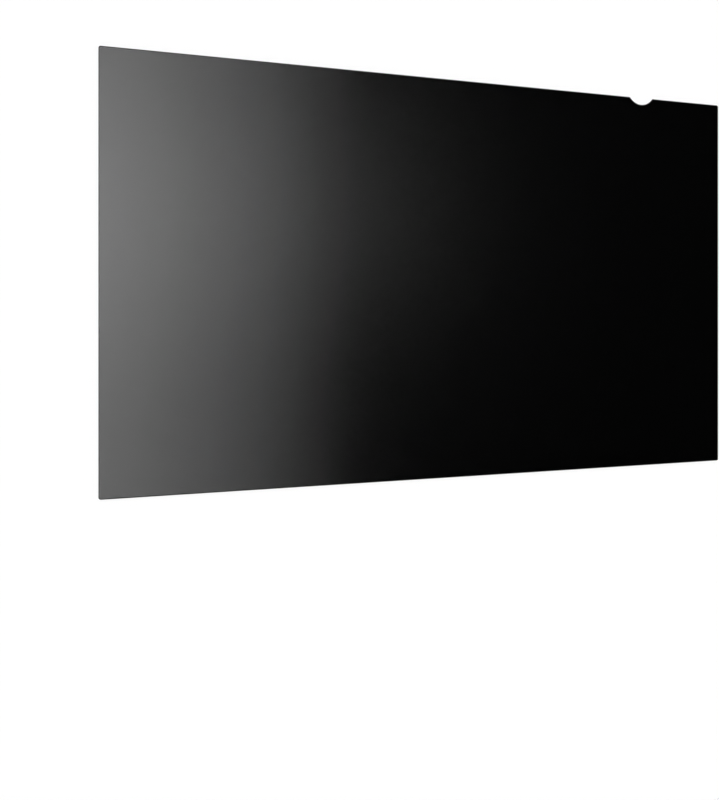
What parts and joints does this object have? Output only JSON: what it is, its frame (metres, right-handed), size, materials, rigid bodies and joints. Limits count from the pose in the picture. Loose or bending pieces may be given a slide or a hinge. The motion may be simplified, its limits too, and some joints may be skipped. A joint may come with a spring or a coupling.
{
  "type": "monitor privacy filter",
  "caption": "Thin dark sheet of micro-louvre film with rounded corners and a finger notch in its top edge, laid over a screen to hide it from the side.",
  "frame": {"origin": "middle of the rear face, on the surface that the sheet lies on", "axes": "+X towards the screen's right edge as the viewer sees it, +Y towards its top edge, which holds the finger notch, +Z out of the viewer's face"},
  "size_m": [0.5314, 0.299, 0.0005],
  "materials": {
    "louvre_film": "satin, smoky clear plastic film with black louvres inside it"
  },
  "bodies": {
    "root": {"filter_sheet": "louvre_film"}
  },
  "joints": []
}
